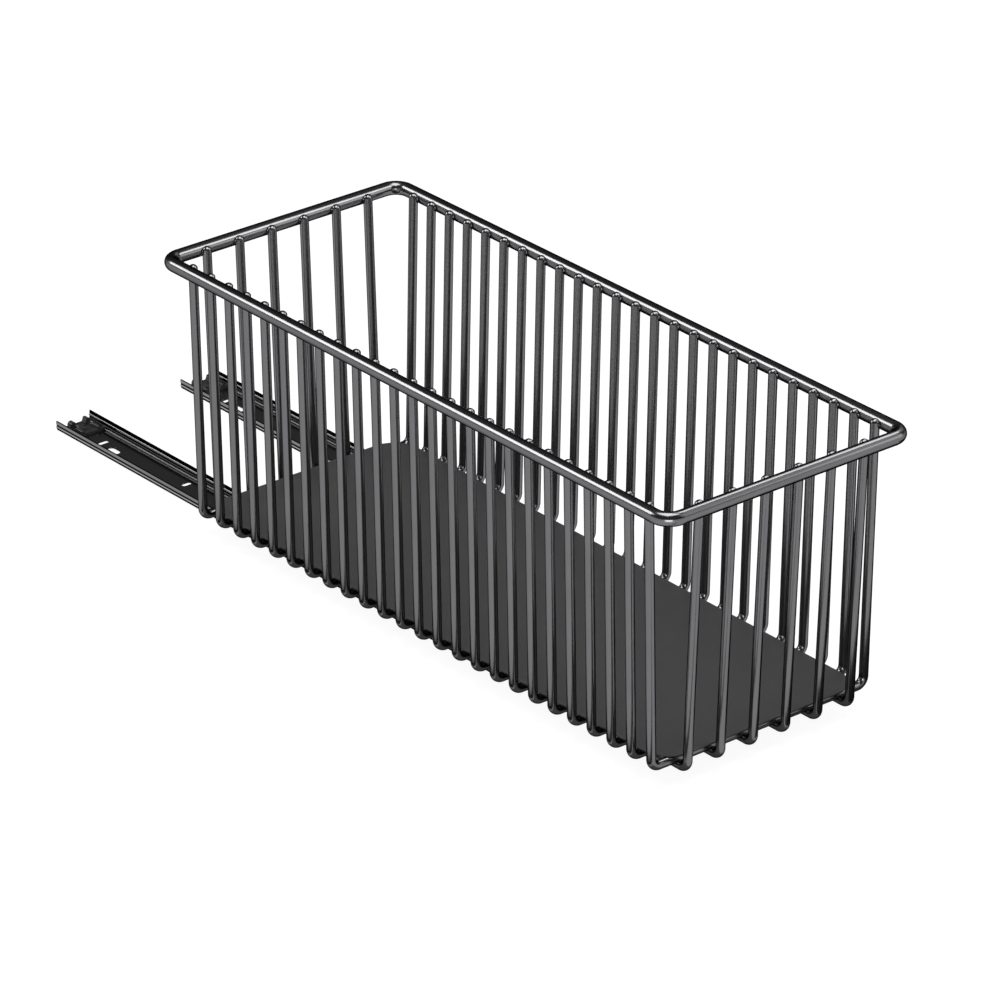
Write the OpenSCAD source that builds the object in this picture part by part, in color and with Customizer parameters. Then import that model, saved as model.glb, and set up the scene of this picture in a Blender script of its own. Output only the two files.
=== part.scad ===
// Pull-out wire basket for a cabinet, on two flat ball-bearing slides.
// Millimetres. +Z is up, -Y is the way the basket pulls out, and the origin is the
// middle of the footprint on the cabinet floor, with the basket partly pulled out.

/* [Basket] */
// Length of the rim, outside to outside
rim_l = 410; // [330:1:600]
// Width of the rim, outside to outside
rim_w = 164; // [135:1:400]
// Height of the top of the rim above the cabinet floor
rim_top = 159.7; // [90:0.1:320]
// Diameter of the rim rod
rim_d = 7.6; // [6:0.1:12]
// Radius of the rim's corners, to the middle of the rod
rim_corner = 8.5; // [7:0.5:20]
// How far the two long sides lean in, from the rim to the floor
side_lean = 3.2; // [0:0.1:12]
// How far the two ends lean in, from the rim to the floor
end_lean = 6.2; // [0:0.1:12]

/* [Wires] */
// Diameter of the basket wires
wire_d = 5; // [3.5:0.1:6]
// Radius of the bends at the foot of each wire, to the middle of the wire
wire_bend = 4.8; // [4.5:0.1:8]
// How deep a wire is let into the rim at its weld
rim_press = 1.9; // [0.4:0.1:2]
// How deep the floor wires are pressed into each other where they cross
cross_press = 2; // [0.3:0.1:2.2]
// How far the wire tops stay below the top of the rim
wire_top_drop = 0.9; // [0.3:0.1:3]
// Number of U-shaped wires that run from side to side
side_wires = 25; // [5:1:31]
// Number of U-shaped wires that run from end to end
end_wires = 6; // [4:1:8]
// Distance from the end of the rim to the first side wire
side_wire_inset = 22.3; // [18:0.1:40]
// Distance from the side of the rim to the first end wire
end_wire_inset = 28.1; // [24:0.1:36]

/* [Floor plate] */
// Thickness of the floor plate
plate_t = 1; // [0.8:0.1:2]
// Radius of the plate's corners
plate_corner = 16; // [2:0.5:20]
// How far the plate runs past the outermost side wires
plate_overhang = 4.3; // [2:0.1:5]

/* [Slides] */
// Width of each slide
slide_w = 23.3; // [21:0.1:30]
// Height of each slide, with the inner channel in place
slide_h = 5.8; // [5.5:0.1:9]
// Thickness of the slide steel
slide_t = 0.7; // [0.6:0.05:0.9]
// How much shorter than the rim the outer channels are
outer_short = 25; // [10:1:60]
// How much shorter than the rim the inner channels are
inner_short = 55; // [45:1:80]
// How far the basket travels from closed to fully open
travel = 170; // [100:1:190]
// How far the basket stands out in the rest pose
rest_out = 133; // [0:1:170]
// Height left free between the slides and the end wires above them
slide_gap = 0.3; // [0.3:0.1:2]

/* [Balls and cages] */
// Diameter of the balls
ball_d = 1.8; // [1.5:0.1:2.2]
// Distance between neighbouring balls
ball_pitch = 18; // [8:1:30]
// Thickness of the cage strips
cage_t = 0.4; // [0.3:0.05:0.6]
// Free space all round a cage strip
cage_gap = 0.35; // [0.3:0.05:0.6]
// Free length between each end of the cage and its stop, when fully open
cage_slack = 6; // [2:0.5:12]

/* [Holes in the outer channels] */
// Distance from the channel's rear end to the rear screw hole
hole_inset = 41.8; // [38:0.1:60]
// Distance from the rear screw hole to the front screw hole
hole_span = 256; // [96:32:256]
// Width of the lengthwise screw holes
hole_w = 5; // [3.5:0.1:6]
// Overall length of the lengthwise screw holes
hole_l = 9; // [7:0.1:14]
// Distance of the screw holes from the channel's middle line
hole_offset = 3.5; // [0:0.1:3.5]
// Width of the crosswise slots
slot_w = 3; // [2:0.1:4]
// Overall length of the crosswise slot behind each screw hole
slot_l = 8; // [5:0.1:10]
// Overall length of the single small crosswise slot
small_slot_l = 6; // [4.5:0.1:8]

/* [Screws] */
// Diameter of the screws that hold the carriers on the inner channels
screw_d = 3; // [2.5:0.1:3.2]
// Number of these screws in each slide
screws = 4; // [2:1:6]

/* [Hidden] */
$fn = 64;
eps = 0.02;             // clearance between pieces that are pressed or welded together
fit = 0.05;             // clearance of a ball in its race, or a screw in its hole
bend_swell = 0.02;      // how much fatter a bend is than the straight rods that run into it
bend_lap = 0.25;        // how far those rods run into the bend
wire_r = wire_d / 2;
rim_r = rim_d / 2;
rim_z = rim_top - rim_r;

// Slide section, from the cabinet floor up
race_r = ball_d / 2 + fit;
race_edge = 0.15;       // steel left below a race
race_open = cage_t / 2 + cage_gap;          // half the space between the two flanges
foot_gap = 0.35;
inner_foot = slide_t + foot_gap;
ball_z = inner_foot + race_edge + race_r;
ball_x = slide_w / 2 - slide_t - race_r;
inner_web_z = slide_h - slide_t;
cage_z = slide_t + cage_gap;
lip_z = ball_z + race_r + 2 * race_edge;    // where the outer flange flares out
lip_out = race_r - race_open;
corner_r = slide_t + 0.3;                   // outside radius where web and flange meet

// Basket floor, stacked on the slides
carrier_t = slide_gap + wire_d - cross_press;
side_z = slide_h + carrier_t + wire_r;
end_z = side_z - wire_d + cross_press;
plate_z = side_z + wire_r;

// Half lengths and widths at the rim and, where leg and floor wire meet, at the floor
side_top_x = rim_w / 2 - rim_d - wire_r + rim_press;
side_low_x = side_top_x - side_lean;
end_top_y = rim_l / 2 - rim_d - wire_r + rim_press;
end_low_y = end_top_y - end_lean;

// Rows of wires
side_pitch = (rim_l - 2 * side_wire_inset) / (side_wires - 1);
end_pitch = (rim_w - 2 * end_wire_inset) / (end_wires - 1);
function side_wire_y(i) = side_wire_inset - rim_l / 2 + (i - 1) * side_pitch;
function end_wire_x(i) = end_wire_inset - rim_w / 2 + (i - 1) * end_pitch;

// Floor plate
bend_reach = wire_bend * tan((90 - lean_angle(side_lean, side_z)) / 2);
plate_l = rim_l - 2 * side_wire_inset + 2 * plate_overhang;
plate_edge_gap = 0.1;
plate_w = 2 * (side_low_x - bend_reach - plate_edge_gap);

// Places along the slides in the rest pose
basket_y = -rest_out / 2;
rear_y = (rim_l + rest_out) / 2;
outer_l = rim_l - outer_short;
inner_l = rim_l - inner_short;
bumper_l = 13.5;
bumper_inset = 3.5;
stop_gap = 0.3;         // from the closed inner channel to the bumper
saddle_l = 3.5;
base_t = 0.6;
rivet_d = 2;
rivet_gap = 0.5;        // from the saddle to the rivet's head
rivet_y = rear_y - bumper_inset - saddle_l - rivet_gap - rivet_d;
lug_t = 1;
lug_past = 0.25;        // how far a stop lug reaches past the middle of a cage strip
bumper_y = rear_y - bumper_inset - bumper_l;
inner_rear_y = bumper_y - stop_gap - rest_out;
front_y = rear_y - outer_l;
open_rear_y = inner_rear_y - (travel - rest_out);
cage_l = open_rear_y - front_y - 2 * (cage_slack + lug_t);
cage_y = (open_rear_y + front_y + travel - rest_out) / 2;
balls = floor((cage_l - 2 * ball_d) / ball_pitch);

// The slides lie about midway between the two outermost end wires on each side
slide_shift = 0.4;      // from midway in towards the middle of the basket
slide_x = -(end_wire_x(1) + end_wire_x(2)) / 2 - slide_shift;
carrier_side_gap = 0.8;
carrier_w = end_pitch - wire_d - 2 * carrier_side_gap;
carrier_past = 3;       // how far a carrier runs past the second side wire from each end
carrier_l = rim_l - 2 * (side_wire_inset + side_pitch) + 2 * carrier_past;
screw_inset = 30;
screw_step = (inner_l - 2 * screw_inset) / (screws - 1);

steel_dark = "#3a3b3d";
steel_rim = "#4a4b4d";
steel_black = "#26272a";
steel_bright = "#a8abb0";
rubber = "#1b1b1c";

SLIDE_PARTS = ["outer_channel", "inner_channel", "ball_cage", "balls",
               "rear_bumper", "bumper_rivet", "carrier", "carrier_screws"];
SIDES = ["left", "right"];
function side_wire_name(i) = str("side_wire_", i < 10 ? "0" : "", i);
function end_wire_name(i) = str("end_wire_", i);

// Angle from upright of a leg that leans out by `lean` between height z and the rim
function lean_angle(lean, z) = atan(lean / (rim_z - z));

// ---- Helpers ----

// A rod along +X from x = 0
module rod_x(length, r) {
    rotate([0, 90, 0]) cylinder(r = r, h = length);
}

// A rod along +Y from y = 0
module rod_y(length, r) {
    rotate([-90, 0, 0]) cylinder(r = r, h = length);
}

// A bend from +X round to `angle`, about the origin
module rod_bend(bend_r, angle, r) {
    rotate_extrude(angle = angle) translate([bend_r, 0]) circle(r = r + bend_swell);
}

// A slot through everything from z = -1 to z = deep, `long` overall along X
module slot_x(long, wide, deep) {
    straight = long - wide;
    translate([-straight / 2, -wide / 2, -1]) cube([straight, wide, deep + 1]);
    for (x = [-straight / 2, straight / 2])
        translate([x, 0, -1]) cylinder(d = wide, h = deep + 1);
}

// An outline in X and Z, drawn out along -Y from y = 0
module along_slide(length) {
    rotate([90, 0, 0]) linear_extrude(length) children();
}

module both_edges() {
    children();
    mirror([1, 0]) children();
}

// ---- Rim ----

module top_rim() {
    bend_x = rim_w / 2 - rim_r - rim_corner;
    bend_y = rim_l / 2 - rim_r - rim_corner;
    rod_half_x = bend_x + bend_lap;
    rod_half_y = bend_y + bend_lap;
    color(steel_rim) translate([0, basket_y, rim_z]) {
        for (y = [-1, 1])
            translate([-rod_half_x, y * (bend_y + rim_corner), 0]) rod_x(2 * rod_half_x, rim_r);
        for (x = [-1, 1])
            translate([x * (bend_x + rim_corner), -rod_half_y, 0]) rod_y(2 * rod_half_y, rim_r);
        for (turn = [0:3]) {
            x = turn == 0 || turn == 3 ? bend_x : -bend_x;
            y = turn < 2 ? bend_y : -bend_y;
            translate([x, y, 0]) rotate([0, 0, 90 * turn]) rod_bend(rim_corner, 90, rim_r);
        }
    }
}

// ---- U-shaped wires ----

// One leg with its foot bend, in the XZ plane. The leg's middle line passes through
// x = low at height z and leans out by `lean` on its way up to the rim.
module u_leg(low, z, lean) {
    a = lean_angle(lean, z);
    reach = wire_bend * tan((90 - a) / 2);
    start = reach - bend_lap;
    leg_l = (rim_top - wire_top_drop - z) / cos(a) - start;
    dome_r = 1.08 * wire_r;     // a little flatter than a half ball
    translate([low - reach, 0, z + wire_bend]) rotate([90, 0, 0]) rotate([0, 0, -90])
        rod_bend(wire_bend, 90 - a, wire_r);
    translate([low, 0, z]) rotate([0, a, 0]) translate([0, 0, start]) intersection() {
        cylinder(r = wire_r, h = leg_l);
        union() {
            cylinder(r = 2 * wire_r, h = leg_l - wire_r);
            translate([0, 0, leg_l - dome_r]) sphere(r = dome_r);
        }
    }
}

// The whole U, open at the top
module u_wire(low, z, lean) {
    floor_half = low - wire_bend * tan((90 - lean_angle(lean, z)) / 2) + bend_lap;
    translate([-floor_half, 0, z]) rod_x(2 * floor_half, wire_r);
    u_leg(low, z, lean);
    mirror([1, 0, 0]) u_leg(low, z, lean);
}

module side_wire(i) {
    seat_l = 4 * wire_d;
    color(steel_dark) translate([0, basket_y + side_wire_y(i), 0]) difference() {
        u_wire(side_low_x, side_z, side_lean);
        for (x = [-1, 1])
            translate([x * (rim_w / 2 - rim_r), -seat_l / 2, rim_z]) rod_y(seat_l, rim_r + eps);
    }
}

module end_wire(i) {
    seat_l = 4 * wire_d;
    color(steel_dark) translate([end_wire_x(i), basket_y, 0]) difference() {
        rotate([0, 0, 90]) u_wire(end_low_y, end_z, end_lean);
        for (y = [-1, 1])
            translate([-seat_l / 2, y * (rim_l / 2 - rim_r), rim_z]) rod_x(seat_l, rim_r + eps);
        for (k = [1:side_wires])
            translate([-seat_l / 2, side_wire_y(k), side_z]) rod_x(seat_l, wire_r + eps);
    }
}

// ---- Floor plate ----

module floor_plate() {
    x = plate_w / 2 - plate_corner;
    y = plate_l / 2 - plate_corner;
    color(steel_dark) translate([0, basket_y, plate_z]) {
        difference() {
            translate([-plate_w / 2, -plate_l / 2, 0]) cube([plate_w, plate_l, plate_t]);
            for (sx = [-1, 1]) for (sy = [-1, 1]) translate([sx * x, sy * y, -1]) difference() {
                translate([sx > 0 ? 0 : -2 * plate_corner, sy > 0 ? 0 : -2 * plate_corner, 0])
                    cube([2 * plate_corner, 2 * plate_corner, plate_t + 2]);
                cylinder(r = plate_corner, h = plate_t + 2);
            }
        }
    }
}

// ---- Slides: every part is drawn about its own slide's middle line ----

// Steel round a ball race, on the side of the race where x is larger
module race_bulge() {
    difference() {
        intersection() {
            circle(r = race_r + slide_t);
            translate([race_open, -2 * race_r]) square([3 * race_r, 4 * race_r]);
        }
        circle(r = race_r);
    }
}

// Quarter ring from the web up into a flange whose outside is at x
module bent_corner(x) {
    translate([x - corner_r, corner_r]) difference() {
        circle(r = corner_r);
        circle(r = corner_r - slide_t);
        translate([-corner_r, 0]) square([2 * corner_r, corner_r]);
        translate([-corner_r, -corner_r]) square([corner_r, 2 * corner_r]);
    }
}

module outer_flange() {
    inside = ball_x + race_open;
    bent_corner(inside + slide_t);
    difference() {
        translate([inside, corner_r]) square([slide_t, lip_z - corner_r]);
        translate([ball_x, ball_z]) circle(r = race_r);
    }
    translate([ball_x, ball_z]) race_bulge();
    polygon([[inside, lip_z], [inside + slide_t, lip_z],
             [inside + slide_t + lip_out, lip_z + lip_out], [inside + slide_t + lip_out, slide_h],
             [inside + lip_out, slide_h], [inside + lip_out, lip_z + lip_out]]);
}

module outer_section() {
    half_web = ball_x + race_open + slide_t - corner_r;
    translate([-half_web, 0]) square([2 * half_web, slide_t]);
    both_edges() outer_flange();
}

// Stop for both cage strips: small tabs that stand between the flanges
module outer_lugs() {
    lug_w = race_open + lug_past + slide_t / 2;
    for (side = [0, 1]) mirror([side, 0, 0]) translate([ball_x - lug_past, front_y, slide_t / 2])
        cube([lug_w, lug_t, lip_z - slide_t / 2]);
}

module inner_lugs() {
    lug_w = race_open + lug_past + slide_t / 2;
    for (side = [0, 1]) mirror([side, 0, 0])
        translate([ball_x + lug_past - lug_w, inner_rear_y - lug_t, inner_foot])
            cube([lug_w, lug_t, lip_z - inner_foot]);
}

module outer_channel() {
    slot_offset = 2.2;
    slot_back = 12;         // from a screw hole back to the slot behind it
    small_slot_offset = 2.1;
    small_slot_front = 58.6;        // from the rear screw hole forward to the small slot
    color(steel_black) difference() {
        union() {
            translate([0, rear_y, 0]) along_slide(outer_l) outer_section();
            outer_lugs();
        }
        for (ahead = [hole_inset, hole_inset + hole_span]) {
            translate([-hole_offset, rear_y - ahead, 0]) rotate([0, 0, 90])
                slot_x(hole_l, hole_w, slide_t + 1);
            translate([-slot_offset, rear_y - ahead + slot_back, 0])
                slot_x(slot_l, slot_w, slide_t + 1);
        }
        translate([small_slot_offset, rear_y - hole_inset - small_slot_front, 0])
            slot_x(small_slot_l, slot_w, slide_t + 1);
        at_rivet() translate([0, 0, -1]) cylinder(d = rivet_d + 2 * eps, h = slide_t + 2);
    }
}

module inner_section() {
    outside = ball_x - race_open;
    translate([-outside, inner_web_z]) square([2 * outside, slide_t]);
    both_edges() {
        difference() {
            translate([outside - slide_t, inner_foot]) square([slide_t, slide_h - inner_foot]);
            translate([ball_x, ball_z]) circle(r = race_r);
        }
        intersection() {
            translate([ball_x, ball_z]) mirror([1, 0]) race_bulge();
            translate([0, inner_foot]) square([slide_w, slide_h - inner_foot]);
        }
    }
}

module inner_channel() {
    color(steel_black) difference() {
        union() {
            translate([0, inner_rear_y, 0]) along_slide(inner_l) inner_section();
            inner_lugs();
        }
        at_screws() translate([0, 0, inner_web_z - 1]) cylinder(d = screw_d + 2 * fit, h = slide_t + 2);
    }
}

module at_screws() {
    for (k = [0:screws - 1])
        translate([0, inner_rear_y - screw_inset - k * screw_step, 0]) children();
}

module at_balls() {
    for (k = [0:balls - 1]) for (x = [-ball_x, ball_x])
        translate([x, cage_y + (k - (balls - 1) / 2) * ball_pitch, ball_z]) children();
}

// Two strips with a round pocket for each ball, one between each pair of flanges
module ball_cage() {
    pocket_l = 2 * cage_t;
    color(steel_bright) difference() {
        for (x = [-ball_x, ball_x]) translate([x - cage_t / 2, cage_y - cage_l / 2, cage_z])
            cube([cage_t, cage_l, lip_z - cage_z]);
        at_balls() translate([-pocket_l / 2, 0, 0]) rod_x(pocket_l, race_r);
    }
}

module slide_balls() {
    color(steel_bright) at_balls() sphere(d = ball_d);
}

// Buffer at the rear end of the outer channel: a saddle between two round ears, on a base
// with two ridges and a bar across that stops the inner channel
module rear_bumper() {
    ear_r = 2;
    ear_x = 4.7;
    ear_drop = 0.4;         // from the top of the channel down to the ears
    ear_z = slide_h - slide_t - ear_drop - ear_r;
    foot_h = 1.4;
    hollow_r = ear_x - ear_r / 2;
    hollow_sink = 0.7;      // how far the hollow of the saddle cuts into its foot
    ridge_x = 5.5;
    ridge_w = 2.2;
    ridge_l = 6.3;
    ridge_h = 3.4;
    bar_half_w = ball_x - race_open;        // as wide as the inner channel
    bar_l = 2;
    bar_h = 1.6;
    color(rubber) translate([0, bumper_y, slide_t]) difference() {
        union() {
            translate([0, bumper_l, 0]) along_slide(saddle_l) difference() {
                union() {
                    translate([-ear_x, 0]) square([2 * ear_x, foot_h]);
                    both_edges() translate([ear_x, ear_z]) circle(r = ear_r);
                    both_edges() translate([ear_x - ear_r / 2, 0]) square([ear_r, ear_z]);
                }
                translate([0, foot_h + hollow_r - hollow_sink]) circle(r = hollow_r);
                translate([-slide_w, -slide_w]) square([2 * slide_w, slide_w]);
            }
            translate([0, ridge_l, 0]) along_slide(ridge_l) both_edges() translate([ridge_x, 0]) {
                translate([-ridge_w / 2, 0]) square([ridge_w, ridge_h - ridge_w / 2]);
                translate([0, ridge_h - ridge_w / 2]) circle(r = ridge_w / 2);
            }
            translate([-ridge_x, 0, 0]) cube([2 * ridge_x, bumper_l - saddle_l / 2, base_t]);
            translate([-bar_half_w, 0, 0]) cube([2 * bar_half_w, bar_l, bar_h]);
        }
        translate([0, rivet_y - bumper_y, -1]) cylinder(d = rivet_d + 2 * eps, h = base_t + 2);
    }
}

module at_rivet() {
    translate([0, rivet_y, 0]) children();
}

// Holds the bumper down on the outer channel
module bumper_rivet() {
    head_d = 2 * rivet_d;
    head_h = 0.6;
    color(steel_black) at_rivet() {
        cylinder(d = rivet_d, h = slide_t + base_t + head_h);
        translate([0, 0, slide_t + base_t]) cylinder(d = head_d, h = head_h);
    }
}

module carrier() {
    color(steel_dark) difference() {
        translate([-carrier_w / 2, basket_y - carrier_l / 2, slide_h])
            cube([carrier_w, carrier_l, carrier_t]);
        at_screws() translate([0, 0, slide_h - 1]) cylinder(d = screw_d + 2 * fit, h = carrier_t + 2);
    }
}

module carrier_screws() {
    head_d = 1.9 * screw_d;
    head_h = 1.6;
    tip_gap = 0.5;          // from the tip up to the side wires
    color(steel_bright) at_screws() {
        translate([0, 0, inner_web_z - head_h]) cylinder(d = head_d, h = head_h);
        translate([0, 0, inner_web_z]) cylinder(d = screw_d, h = slide_t + carrier_t - tip_gap);
    }
}

module slide_part(part) {
    if (part == "outer_channel") outer_channel();
    if (part == "inner_channel") inner_channel();
    if (part == "ball_cage") ball_cage();
    if (part == "balls") slide_balls();
    if (part == "rear_bumper") rear_bumper();
    if (part == "bumper_rivet") bumper_rivet();
    if (part == "carrier") carrier();
    if (part == "carrier_screws") carrier_screws();
}

top_rim();
floor_plate();
for (i = [1:side_wires])
    side_wire(i);
for (i = [1:end_wires])
    end_wire(i);
for (side = SIDES) for (part = SLIDE_PARTS)
    translate([side == "left" ? -slide_x : slide_x, 0, 0]) slide_part(part);
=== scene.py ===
# %% [markdown]
# # A pull-out wire basket on two slides
#
# The object is a kitchen cabinet basket: U-shaped steel wires welded to a thick rim rod, a sheet
# steel floor plate, and two flat ball-bearing slides underneath. The precise parts already exist
# as a frame of CAD solids that never move. This lesson gives them their finish, replaces the
# parts whose edges need softening, adds the welds, and sets up light and camera.
#
# Before that, the frame is loaded.

# %% Load the frame
import math

import bmesh
import bpy
from mathutils import Matrix, Vector


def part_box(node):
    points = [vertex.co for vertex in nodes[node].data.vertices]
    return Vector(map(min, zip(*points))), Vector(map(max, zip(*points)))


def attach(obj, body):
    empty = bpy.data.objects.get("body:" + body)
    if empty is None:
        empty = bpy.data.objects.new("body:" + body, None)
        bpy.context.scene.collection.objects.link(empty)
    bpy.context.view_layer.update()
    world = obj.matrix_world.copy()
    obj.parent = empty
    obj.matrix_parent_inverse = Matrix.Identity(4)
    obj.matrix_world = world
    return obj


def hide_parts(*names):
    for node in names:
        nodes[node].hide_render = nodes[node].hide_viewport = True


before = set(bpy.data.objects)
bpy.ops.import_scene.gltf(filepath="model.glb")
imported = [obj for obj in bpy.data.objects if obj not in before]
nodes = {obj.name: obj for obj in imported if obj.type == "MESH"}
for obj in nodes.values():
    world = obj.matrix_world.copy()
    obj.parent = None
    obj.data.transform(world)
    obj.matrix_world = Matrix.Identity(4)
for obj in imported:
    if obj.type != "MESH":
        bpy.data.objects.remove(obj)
bpy.context.view_layer.update()

# %% [markdown]
# ## Sizes
#
# Everything that is placed takes its size from the frame, so a change in the CAD model
# carries through. The wires are measured the same way: a side wire is as thick as its box is
# long, an end wire as its box is wide.

# %% Sizes read from the frame
MM = 0.001
SIDES = ("left", "right")


def centre(node):
    """Middle of a node's box."""
    low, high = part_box(node)
    return (Vector(low) + Vector(high)) / 2


def extent(node):
    """Size of a node's box."""
    low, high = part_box(node)
    return Vector(high) - Vector(low)


side_wires = sorted(name for name in nodes if name.startswith("side_wire_"))
end_wires = sorted(name for name in nodes if name.startswith("end_wire_"))
wire_d = extent(side_wires[0]).y
rim_low, rim_high = (Vector(corner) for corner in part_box("top_rim"))
rim_d = rim_high.z - rim_low.z
rim_z = (rim_low.z + rim_high.z) / 2
print(len(side_wires), "side wires and", len(end_wires), "end wires,",
      round(wire_d / MM, 2), "mm thick")

# %% [markdown]
# ## The camera
#
# The camera comes first, because every later choice is judged through it. A long lens at more
# than three metres keeps the verticals almost parallel. The camera looks at `aim` from a
# direction given by two angles, and `Matrix.Rotation` turns those into its orientation.

# %% Camera
sensor = 36.0
lens = 240.34
azimuth, elevation = math.radians(-39.487), math.radians(26.003)
distance = 3.3991
aim = Vector((-0.03205, -0.08501, 0.08483))
towards_camera = Vector((math.sin(azimuth) * math.cos(elevation),
                         -math.cos(azimuth) * math.cos(elevation),
                         math.sin(elevation)))

camera_data = bpy.data.cameras.new("camera")
camera_data.sensor_width = sensor
camera_data.lens = lens
camera_data.clip_end = 50    # metres, beyond the far wall of the floor
camera = bpy.data.objects.new("camera", camera_data)
camera.location = aim + distance * towards_camera
camera.rotation_euler = (math.pi / 2 - elevation, 0, azimuth)
bpy.context.scene.collection.objects.link(camera)
bpy.context.scene.camera = camera
print("camera at", [round(v, 3) for v in camera.location])

# %% [markdown]
# ## Sums in a material
#
# A pattern such as a coat's grain is a sum of textures. Typing each sum as a node is long, so
# `Field` wraps a socket and lets Python's own operators add the Math nodes. `Finish` is one
# material: it sets the constant values straight on the shader's sockets, and its `node` method
# makes any other node.


# %% A socket that can be added and multiplied
class Field:
    """A number that varies over a surface."""

    def __init__(self, finish, socket):
        self.finish = finish
        self.socket = socket

    def _sum(self, operation, first, second):
        return self.finish.node("ShaderNodeMath", {"operation": operation}, {0: first, 1: second})

    def __add__(self, other):
        return self._sum("ADD", self, other)

    def __radd__(self, other):
        return self._sum("ADD", other, self)

    def __sub__(self, other):
        return self._sum("SUBTRACT", self, other)

    def __rsub__(self, other):
        return self._sum("SUBTRACT", other, self)

    def __mul__(self, other):
        return self._sum("MULTIPLY", self, other)

    def __rmul__(self, other):
        return self._sum("MULTIPLY", other, self)


class Finish:
    """A material built round one Principled shader."""

    def __init__(self, name, **constants):
        self.material = bpy.data.materials.new(name)
        self.material.use_nodes = True
        self.tree = self.material.node_tree
        self.shader = self.tree.nodes["Principled BSDF"]
        for socket, value in constants.items():
            self.shader.inputs[socket.replace("_", " ")].default_value = value

    def node(self, kind, settings=None, inputs=None, output=0):
        """Makes a node, sets it up, fills or links its inputs and returns one output."""
        made = self.tree.nodes.new(kind)
        for name, value in (settings or {}).items():
            setattr(made, name, value)
        for socket, value in (inputs or {}).items():
            if isinstance(value, Field):
                self.tree.links.new(value.socket, made.inputs[socket])
            else:
                made.inputs[socket].default_value = value
        return Field(self, made.outputs[output])

    def link(self, socket, field):
        """Feeds one of the shader's sockets with a field."""
        self.tree.links.new(field.socket, self.shader.inputs[socket])

    def along(self, axis):
        """Distance from the frame's origin along one axis, in metres."""
        place = self.node("ShaderNodeTexCoord", output="Object")
        return self.node("ShaderNodeSeparateXYZ", inputs={"Vector": place}, output=axis)

    def size(self, field):
        """The field without its sign."""
        return self.node("ShaderNodeMath", {"operation": "ABSOLUTE"}, {0: field})

    def step(self, field, start, end):
        """Goes smoothly from 0 to 1 as the field goes from start to end."""
        return self.node("ShaderNodeMapRange", {"interpolation_type": "SMOOTHSTEP"},
                         {"Value": field, "From Min": start, "From Max": end})

    def noise(self, size, detail=2.0, stretch=(1, 1, 1)):
        """Noise from 0 to 1 whose blobs are about `size` across, drawn out by `stretch`."""
        place = self.node("ShaderNodeTexCoord", output="Object")
        scale = tuple(1 / (size * s) for s in stretch)
        place = self.node("ShaderNodeMapping", inputs={"Vector": place, "Scale": scale})
        return self.node("ShaderNodeTexNoise",
                         inputs={"Vector": place, "Scale": 1.0, "Detail": detail})

    def blend(self, amount, first, second):
        """Goes from the first colour to the second as amount goes from 0 to 1."""
        first, second = (c if isinstance(c, Field) else (*c, 1) for c in (first, second))
        return self.node("ShaderNodeMix", {"data_type": "RGBA"},
                         {0: amount, 6: first, 7: second}, output=2)

    def bump(self, height, depth):
        """A normal that rises by depth where the height goes from 0 to 1."""
        return self.node("ShaderNodeBump",
                         inputs={"Height": height, "Distance": depth, "Strength": 1.0})


print("sockets add up")

# %% [markdown]
# ## The coat on the wires
#
# The wires, the rim and the plate carry a baked coat of dark grey with some metal in it. Up
# close such a coat has a faint orange peel and a fine grain. A metallic shader whose Specular
# Tint is dark reflects well face on and little at the edge, so each wire gets a soft grey streak
# down its middle between two dark edges.


# %% Wire, rim and plate coats
def shades(colour, spread):
    """A darker and a lighter shade of the colour."""
    return (tuple(c * (1 + change) for c in colour) for change in (-spread, spread))


def uneven(roughness, field):
    """The roughness, with the field's ups and downs in it."""
    return roughness - roughness_spread / 2 + roughness_spread * field


def coat(name, colour, roughness, edge, peel_depth, metallic):
    finish = Finish(name, Metallic=metallic, Specular_Tint=(edge, edge, edge, 1))
    finish.link("Base Color", finish.blend(finish.noise(patch_size), *shades(colour, patchiness)))
    grain = finish.noise(grain_size)
    finish.link("Roughness", uneven(roughness, grain))
    peel = finish.noise(peel_size, detail=1.0)
    finish.link("Normal", finish.bump(peel + grain_share * grain, peel_depth))
    return finish.material


patch_size, peel_size, grain_size = 14 * MM, 2.2 * MM, 0.5 * MM
patchiness, roughness_spread, grain_share = 0.08, 0.08, 0.3
fine_peel, coarse_peel = 0.003 * MM, 0.01 * MM
wire_coat = coat("wire coat", (0.155, 0.155, 0.16), roughness=0.20, edge=0.03,
                 peel_depth=fine_peel, metallic=1.0)
rim_coat = coat("rim coat", (0.16, 0.16, 0.165), roughness=0.20, edge=0.05,
                peel_depth=fine_peel, metallic=1.0)
plate_coat = coat("plate coat", (0.048, 0.048, 0.049), roughness=0.38, edge=0.50,
                  peel_depth=coarse_peel, metallic=0.0)
for name in side_wires + end_wires + ["left_carrier", "right_carrier"]:
    nodes[name].material_slots[0].material = wire_coat
nodes["top_rim"].material_slots[0].material = rim_coat
nodes["floor_plate"].material_slots[0].material = plate_coat
print("coats:", wire_coat.name, rim_coat.name, plate_coat.name)

# %% [markdown]
# ## The steel of the slides
#
# The channels are rolled from black coated strip, and their walls carry painted highlights and
# painted shade in the colour. On the outer face of a wall the foot and the top are painted light,
# as painted reflections, with a painted dark hollow between them. On the inner face only a thin
# line by the race is painted light and the rest is painted shade, and where the wall meets the
# flat web a dull grey line is a painted highlight that stands in for a rounder corner. All slides
# lie flat on the floor, so the height above it and the distance from the slide's middle tell
# which of these places a point is in.

# %% Where the slides carry painted highlights and where painted shade
# Height bands of painted highlight on a wall's two faces; between them the wall is painted shade.
outer_painted_highlights = ((1.10 * MM, 2.65 * MM, 1.0), (3.95 * MM, 5.55 * MM, 0.64))
inner_painted_highlight = ((2.95 * MM, 3.85 * MM, 0.28),)
# A grey line on the web by each wall's foot, a painted highlight for a rounder corner.
foot_painted_highlight = ((8.9 * MM, 9.9 * MM, 1.0),)
web_light = 1.0
band_blur = 0.2 * MM
print("light bands outside:", len(outer_painted_highlights), "inside:", len(inner_painted_highlight))


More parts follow.
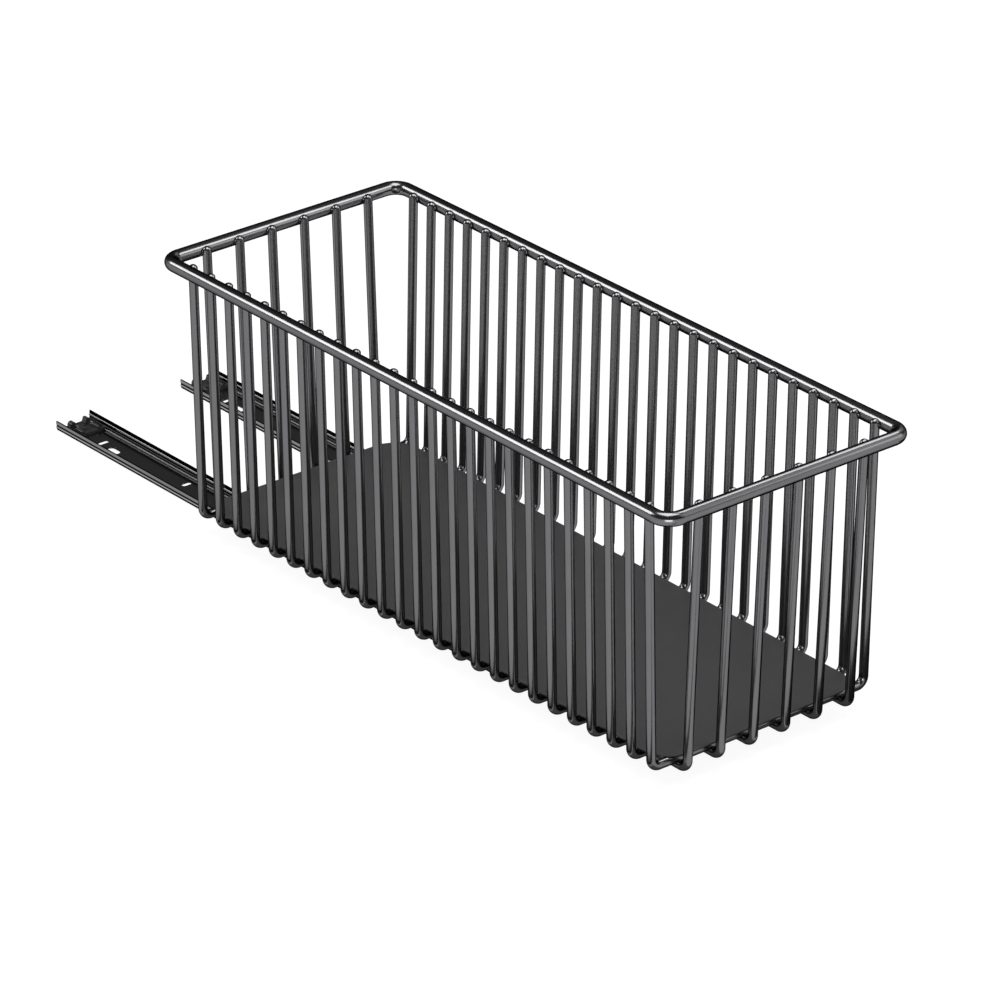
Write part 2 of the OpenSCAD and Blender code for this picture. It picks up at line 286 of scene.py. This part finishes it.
def bands(finish, field, table):
    """The painted light of each band of the table where the field is between its two ends."""
    light = 0.0
    for low, high, strength in table:
        inside = (finish.step(field, low - band_blur, low + band_blur)
                  - finish.step(field, high - band_blur, high + band_blur))
        light = light + strength * inside
    return light


# %% Web, inner face and outer face of a slide
slide_x = abs(centre("left_outer_channel").x)
wall_x = extent("left_outer_channel").x / 2
outer_face = (wall_x - 0.65 * MM, wall_x - 0.5 * MM)
web_edge = (10.0 * MM, 10.2 * MM)
print("slides lie", round(slide_x / MM, 2), "mm off the middle, their walls",
      round(wall_x / MM, 2), "mm off that")


def painted_slide_light(finish):
    """Painted highlights and shade on the walls, and the painted highlight along their feet."""
    height = finish.along("Z")
    off_middle = finish.size(finish.size(finish.along("X")) - slide_x)
    outside = finish.step(off_middle, *outer_face)
    web = 1 - finish.step(off_middle, *web_edge)
    inside = 1 - outside - web
    light = (outside * bands(finish, height, outer_painted_highlights)
             + inside * bands(finish, height, inner_painted_highlight) + web * web_light)
    foot_highlight = web * bands(finish, off_middle, foot_painted_highlight)
    return light, foot_highlight


# %% [markdown]
# ## Rolled and moulded skins
#
# Rolling also leaves faint lines along the strip, so the noise for them is drawn out along Y.
# The foot lines are a painted highlight in dull grey, so the steel's Metallic goes to 0 there.
# Balls, cages and screws stay bright, and the bumpers at the ends are moulded in black with a
# coarse skin.

# %% Slide steel, bright steel and bumper plastic
line_size, line_stretch, line_depth = 0.6 * MM, (1, 60, 1), 0.004 * MM
cloud_size, cloudiness = 9 * MM, 0.15
wear_floor, wear_range = 0.85, 0.3


def rolled(name, roughness, edge, **constants):
    """A finish with the lines of rolling in its roughness and its skin."""
    finish = Finish(name, Specular_Tint=(edge, edge, edge, 1), **constants)
    lines = finish.noise(line_size, stretch=line_stretch)
    finish.link("Roughness", uneven(roughness, lines))
    finish.link("Normal", finish.bump(lines, line_depth))
    return finish, lines


def coated_steel(name, colour, black_and_painted_shade, foot_highlight_grey, roughness, edge):
    finish, lines = rolled(name, roughness, edge)
    light, foot_highlight = painted_slide_light(finish)
    # Black here is both the coat and the painted shade of the walls; the painted highlights take
    # the colour.
    steel = finish.blend(light * (wear_floor + wear_range * lines), black_and_painted_shade, colour)
    finish.link("Base Color", finish.blend(foot_highlight, steel, foot_highlight_grey))
    finish.link("Metallic", 1 - foot_highlight)
    return finish.material


def bare_steel(name, colour, roughness, edge):
    finish, _ = rolled(name, roughness, edge, Metallic=1.0)
    finish.link("Base Color", finish.blend(finish.noise(cloud_size), *shades(colour, cloudiness)))
    return finish.material


# The grey at each wall's foot is a painted highlight.
slide_steel = coated_steel("slide steel", (0.36, 0.36, 0.365), black_and_painted_shade=(0.015, 0.015, 0.015),
                           foot_highlight_grey=(0.30, 0.30, 0.30), roughness=0.16, edge=0.10)
bright_steel = bare_steel("bright steel", (0.60, 0.60, 0.61), roughness=0.25, edge=1.0)
bumper_plastic = coat("bumper plastic", (0.03, 0.03, 0.03), roughness=0.32, edge=0.5,
                      peel_depth=coarse_peel, metallic=0.0)
for side in SIDES:
    for part in ("outer_channel", "inner_channel"):
        nodes[f"{side}_{part}"].material_slots[0].material = slide_steel
    for part in ("ball_cage", "balls", "carrier_screws"):
        nodes[f"{side}_{part}"].material_slots[0].material = bright_steel
    for part in ("rear_bumper", "bumper_rivet"):
        nodes[f"{side}_{part}"].material_slots[0].material = bumper_plastic
print("slide finishes:", slide_steel.name, bright_steel.name, bumper_plastic.name)

# %% [markdown]
# ## New pieces
#
# Every new piece goes through `finished`: it turns a bmesh into an object at the origin, gives it
# its finish, and shades it smooth except at real corners. Then it rides on the basket or on the
# rails, and takes the place of a CAD node where it stands for one. With `flats`, a Weighted
# Normal modifier lets the large faces decide the shading, so that they stay evenly flat next to
# their narrow rounded edges.


# %% From bmesh to piece
def finished(name, build, material, body, stands_for=(), flats=False):
    """Makes the piece, dresses it, and says what it rides on and stands for."""
    bmesh.ops.recalc_face_normals(build, faces=build.faces)
    for face in build.faces:
        face.smooth = True
    mesh = bpy.data.meshes.new(name)
    build.to_mesh(mesh)
    build.free()
    mesh.set_sharp_from_angle(angle=real_corner)
    mesh.materials.append(material)
    piece = bpy.data.objects.new(name, mesh)
    bpy.context.scene.collection.objects.link(piece)
    if flats:
        piece.modifiers.new("flat faces stay flat", "WEIGHTED_NORMAL").keep_sharp = True
    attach(piece, body)
    if stands_for:
        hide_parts(*stands_for)
    print(name, "has", len(mesh.polygons), "faces")


def rounded(build, edges, radius, segments):
    """Rounds the edges with a bevel of that many segments."""
    bmesh.ops.bevel(build, geom=edges, offset=radius, segments=segments, profile=0.5,
                    affect="EDGES", material=-1, clamp_overlap=True)


real_corner = math.radians(35)
print("edges sharper than", round(math.degrees(real_corner)), "degrees stay corners")

# %% [markdown]
# ## Floor plate
#
# The plate is stamped from sheet, so its corners are round in plan and its rims are slightly
# rolled by the punch. A cube is scaled to the node's box. Bevelling its four upright edges makes
# the corners, and a second, tiny bevel round both faces gives the rim a highlight.

# %% Floor plate
plate_corner, plate_roll = 16 * MM, 0.35 * MM
corner_segments, roll_segments = 16, 3
build = bmesh.new()
bmesh.ops.create_cube(build, size=1)
bmesh.ops.scale(build, vec=extent("floor_plate"), verts=build.verts)
bmesh.ops.translate(build, vec=centre("floor_plate"), verts=build.verts)
upright = [edge for edge in build.edges
           if abs(edge.verts[0].co.z - edge.verts[1].co.z) > plate_roll]
rounded(build, upright, plate_corner, corner_segments)
both_faces = [face for face in build.faces if abs(face.normal.z) > 0.9]
rounded(build, list({edge for face in both_faces for edge in face.edges}), plate_roll,
        roll_segments)
finished("floor_sheet", build, plate_coat, "basket", ["floor_plate"], flats=True)

# %% [markdown]
# ## Welds
#
# Each wire is resistance welded to the rim, and at each crossing the floor wires are welded to
# one another. Hot metal is squeezed out into the corners between two rods. One lens of metal per
# joint, an icosphere pressed flat, shows just as much of itself as such a weld does. There are
# hundreds, so each has only a few dozen faces.


# %% Weld lenses
def weld_lens(build, place, half_size):
    """One pressed ball of weld metal."""
    made = bmesh.ops.create_icosphere(build, subdivisions=2, radius=1)["verts"]
    bmesh.ops.scale(build, vec=half_size, verts=made)
    bmesh.ops.translate(build, vec=place, verts=made)


weld_length, weld_depth, weld_height = 3.1 * MM, 1.0 * MM, 2.4 * MM
build = bmesh.new()
for name in side_wires:
    for rim_side in (rim_low.x + rim_d, rim_high.x - rim_d):
        weld_lens(build, (rim_side, centre(name).y, rim_z),
                  (weld_depth, weld_length, weld_height))
for name in end_wires:
    for rim_end in (rim_low.y + rim_d, rim_high.y - rim_d):
        weld_lens(build, (centre(name).x, rim_end, rim_z),
                  (weld_length, weld_depth, weld_height))
finished("rim_welds", build, wire_coat, "basket")

# %% Welds where the floor wires cross
cross_weld = (2.9 * MM, 2.9 * MM, 0.8 * MM)
side_floor_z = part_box(side_wires[0])[0].z + wire_d / 2
end_floor_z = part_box(end_wires[0])[0].z + wire_d / 2
cross_z = (side_floor_z + end_floor_z) / 2
build = bmesh.new()
for side_wire in side_wires:
    for end_wire in end_wires:
        weld_lens(build, (centre(end_wire).x, centre(side_wire).y, cross_z), cross_weld)
finished("floor_welds", build, wire_coat, "basket")

# %% [markdown]
# ## Slides with broken edges
#
# The channels and the buffers at their rear ends are already right in shape, but real strip has
# no razor edges, and without a small round no edge catches the light. So a copy of the node is
# joined up from its loose triangles, its flat faces are cleared of inner edges, and its sharp
# edges get a narrow bevel.


# %% Softened copies
def softened(node, name, radius, material, body):
    """A copy of the node with its sharp edges broken, which stands for it."""
    build = bmesh.new()
    build.from_mesh(nodes[node].data)
    bmesh.ops.remove_doubles(build, verts=build.verts, dist=same_place)
    bmesh.ops.dissolve_limit(build, angle_limit=same_plane, verts=build.verts,
                             edges=build.edges, use_dissolve_boundaries=False)
    sharp = [edge for edge in build.edges
             if len(edge.link_faces) == 2 and edge.calc_face_angle() > sharp_edge]
    rounded(build, sharp, radius, edge_segments)
    finished(name, build, material, body, [node], flats=True)


same_place, same_plane, sharp_edge = 0.002 * MM, math.radians(0.5), math.radians(30)
rail_edge, buffer_edge, edge_segments = 0.15 * MM, 0.25 * MM, 2
for side in SIDES:
    softened(f"{side}_outer_channel", f"{side}_outer_rail", rail_edge, slide_steel,
             "cabinet_rails")
    softened(f"{side}_rear_bumper", f"{side}_rear_buffer", buffer_edge, bumper_plastic,
             "cabinet_rails")

# %% [markdown]
# ## Floor and world
#
# The object stands on a white floor that curves up far away, so that no horizon shows from any
# side. Most of its white is emission that only camera, glossy and transmission rays see, and the
# rest is a pale colour under the lamps, which keeps the object's shadow. The outline is a short
# row of vertices, and `bmesh.ops.spin` turns it once round.

# %% White floor
floor_radius, floor_rise, wall_steps, turn_steps = 6.0, 1.6, 8, 96
build = bmesh.new()
outline = [build.verts.new((0, 0, 0)), build.verts.new((floor_radius, 0, 0))]
for step in range(1, wall_steps + 1):
    turn = math.pi / 2 * step / wall_steps
    outline.append(build.verts.new((floor_radius + floor_rise * math.sin(turn), 0,
                                    floor_rise * (1 - math.cos(turn)))))
edges = [build.edges.new(pair) for pair in zip(outline, outline[1:])]
bmesh.ops.spin(build, geom=outline + edges, cent=(0, 0, 0), axis=(0, 0, 1), dvec=(0, 0, 0),
               angle=2 * math.pi, steps=turn_steps, use_merge=True)
bmesh.ops.remove_doubles(build, verts=build.verts, dist=0.01 * MM)
bmesh.ops.recalc_face_normals(build, faces=build.faces)
for face in build.faces:
    face.smooth = True
floor_mesh = bpy.data.meshes.new("floor")
build.to_mesh(floor_mesh)
build.free()
floor = bpy.data.objects.new("floor", floor_mesh)
bpy.context.scene.collection.objects.link(floor)
print("floor is", 2 * (floor_radius + floor_rise), "m across")

# %% White of the floor
lit_white, shining_white = 0.15, 0.93
white = Finish("white floor", Roughness=1.0, Specular_IOR_Level=0.0,
               Base_Color=(lit_white, lit_white, lit_white, 1), Emission_Color=(1, 1, 1, 1))
rays = white.tree.nodes.new("ShaderNodeLightPath")
seen = 0.0
for kind in ("Is Camera Ray", "Is Glossy Ray", "Is Transmission Ray"):
    seen = seen + Field(white, rays.outputs[kind])
white.link("Emission Strength", shining_white * seen)
floor_mesh.materials.append(white.material)
print("the floor shines with a strength of", shining_white)

# %% World
world = bpy.data.worlds.new("studio")
bpy.context.scene.world = world
world.use_nodes = True
sky = world.node_tree.nodes["Background"]
sky_strength = 0.08
sky.inputs["Color"].default_value = (1, 1, 1, 1)
sky.inputs["Strength"].default_value = sky_strength
print("world strength", sky_strength)

# %% [markdown]
# ## Lamps
#
# Round steel shows its lamps as lines. A rod mirrors only the directions on a cone round its own
# axis, so each lamp is put where one group of rods finds it: the back box draws the line along
# the two long sides of the rim, the side box the line along the two short sides. The top box
# hangs where no straight rod mirrors it and lights the plate and the slides evenly, and the front
# box fills in the side that faces the camera. The last three are small lights for the rim's
# bends, which mirror what no straight rod does: the corner box for the rear bends, the bend box
# for the right one, and the low box for a spot on the nearest.


# %% Lamps
def soft_box(name, place, target, width, height, radiance):
    """An area lamp at place that faces target. Its power follows from how bright it looks."""
    data = bpy.data.lights.new(name, "AREA")
    data.shape = "RECTANGLE"
    data.size = width
    data.size_y = height
    data.energy = radiance * math.pi * width * height
    lamp = bpy.data.objects.new(name, data)
    lamp.location = place
    lamp.rotation_euler = (Vector(place) - Vector(target)).to_track_quat("Z", "Y").to_euler()
    lamp.visible_camera = False
    bpy.context.scene.collection.objects.link(lamp)
    return lamp


plate_middle = centre("floor_plate")
rear_bends = (0, 0.138, 0.156)
right_bend = (0.075, -0.262, 0.159)
near_bend = (-0.078, -0.267, 0.157)
lamps = [
    soft_box("top box", (0.0, -0.07, 1.5), plate_middle, 1.0, 1.0, 5.0),
    soft_box("back box", (-2.115, 2.843, 2.35), plate_middle, 1.6, 1.6, 7.0),
    soft_box("side box", (0.30, -0.15, 0.54), plate_middle, 0.20, 0.25, 5.0),
    soft_box("front box", (0.92, -0.95, 1.05), plate_middle, 1.1, 1.1, 0.9),
    soft_box("corner box", (0.55, -0.62, 0.38), rear_bends, 0.35, 0.30, 1.4),
    soft_box("bend box", (2.08, 0.55, 1.41), right_bend, 1.34, 1.06, 0.8),
    soft_box("low box", (-0.68, -0.94, 0.175), near_bend, 0.52, 0.29, 6.0),
]
print(len(lamps), "lamps")

# %% [markdown]
# ## Painted shade in reflections
#
# The floor shines white in every reflection, also where a real one lies in the shade: under the
# basket and against the slides. Sheets of painted shade lie there instead. Only reflections see
# them, so they neither show to the camera nor cast shadow or bounce light. A grey one under the
# basket glows faintly, a painted dim floor where some light still comes through. Black ones are
# painted shade under each slide and, as a strip along the near side, darken the bends at the feet
# of the wires. A black one in front to the right is a painted dark reflection that gives the
# wires of the front end their dark side.


# %% Painted-shade sheet and its paints
def painted_shade_card(name, corners, paint):
    """A flat sheet of painted shade just above the floor, seen by reflections only."""
    build = bmesh.new()
    build.faces.new([build.verts.new((x, y, card_z)) for x, y in corners])
    mesh = bpy.data.meshes.new(name)
    build.to_mesh(mesh)
    build.free()
    mesh.materials.append(paint)
    sheet = bpy.data.objects.new(name, mesh)
    bpy.context.scene.collection.objects.link(sheet)
    sheet.visible_camera = sheet.visible_diffuse = sheet.visible_shadow = False
    return sheet


def box_corners(low, high, margin=0.0):
    """The four corners of an upright rectangle, seen from above, with a margin round it."""
    return [(low[0] - margin, low[1] - margin), (high[0] + margin, low[1] - margin),
            (high[0] + margin, high[1] + margin), (low[0] - margin, high[1] + margin)]


card_z = 0.2 * MM
# Black, and black with a faint glow: the painted shade that reflections see.
painted_shade_colour, painted_glow_strength = (0.01, 0.01, 0.01, 1), 0.24
black_and_painted_shade = Finish("card black", Base_Color=painted_shade_colour, Roughness=1.0).material
grey_painted_glow = Finish("card grey", Base_Color=painted_shade_colour, Roughness=1.0,
              Emission_Color=(1, 1, 1, 1), Emission_Strength=painted_glow_strength).material
print("card paints:", black_and_painted_shade.name, grey_painted_glow.name)

# %% Painted-shade sheets on the floor
basket_half, slide_margin = extent("floor_plate").x / 2 + 12 * MM, 1.5 * MM
end_low, end_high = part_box(end_wires[0])
near_strip = ((-0.104, -0.55), (-0.082, 0.11))
front_outline = [(-0.02, -0.275), (0.06, -0.34), (0.20, -0.345), (0.42, -0.48), (0.42, -0.22),
                 (0.05, -0.262)]
painted_shade_cards = [painted_shade_card("card under basket",
              box_corners((-basket_half, end_low[1]), (basket_half, end_high[1])), grey_painted_glow)]
for side in SIDES:
    painted_shade_cards.append(painted_shade_card(f"card under {side} slide",
                      box_corners(*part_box(f"{side}_outer_channel"), slide_margin), black_and_painted_shade))
painted_shade_cards.append(painted_shade_card("card in front", front_outline, black_and_painted_shade))
painted_shade_cards.append(painted_shade_card("card at near side", box_corners(*near_strip), black_and_painted_shade))
print(len(painted_shade_cards), "painted_shade_cards")

# %% [markdown]
# ## Colour view
#
# The Standard view shows each colour as it is written. New pieces must not make the object
# bigger than its CAD model.

# %% Colour view
view = bpy.context.scene.view_settings
view.view_transform = "Standard"
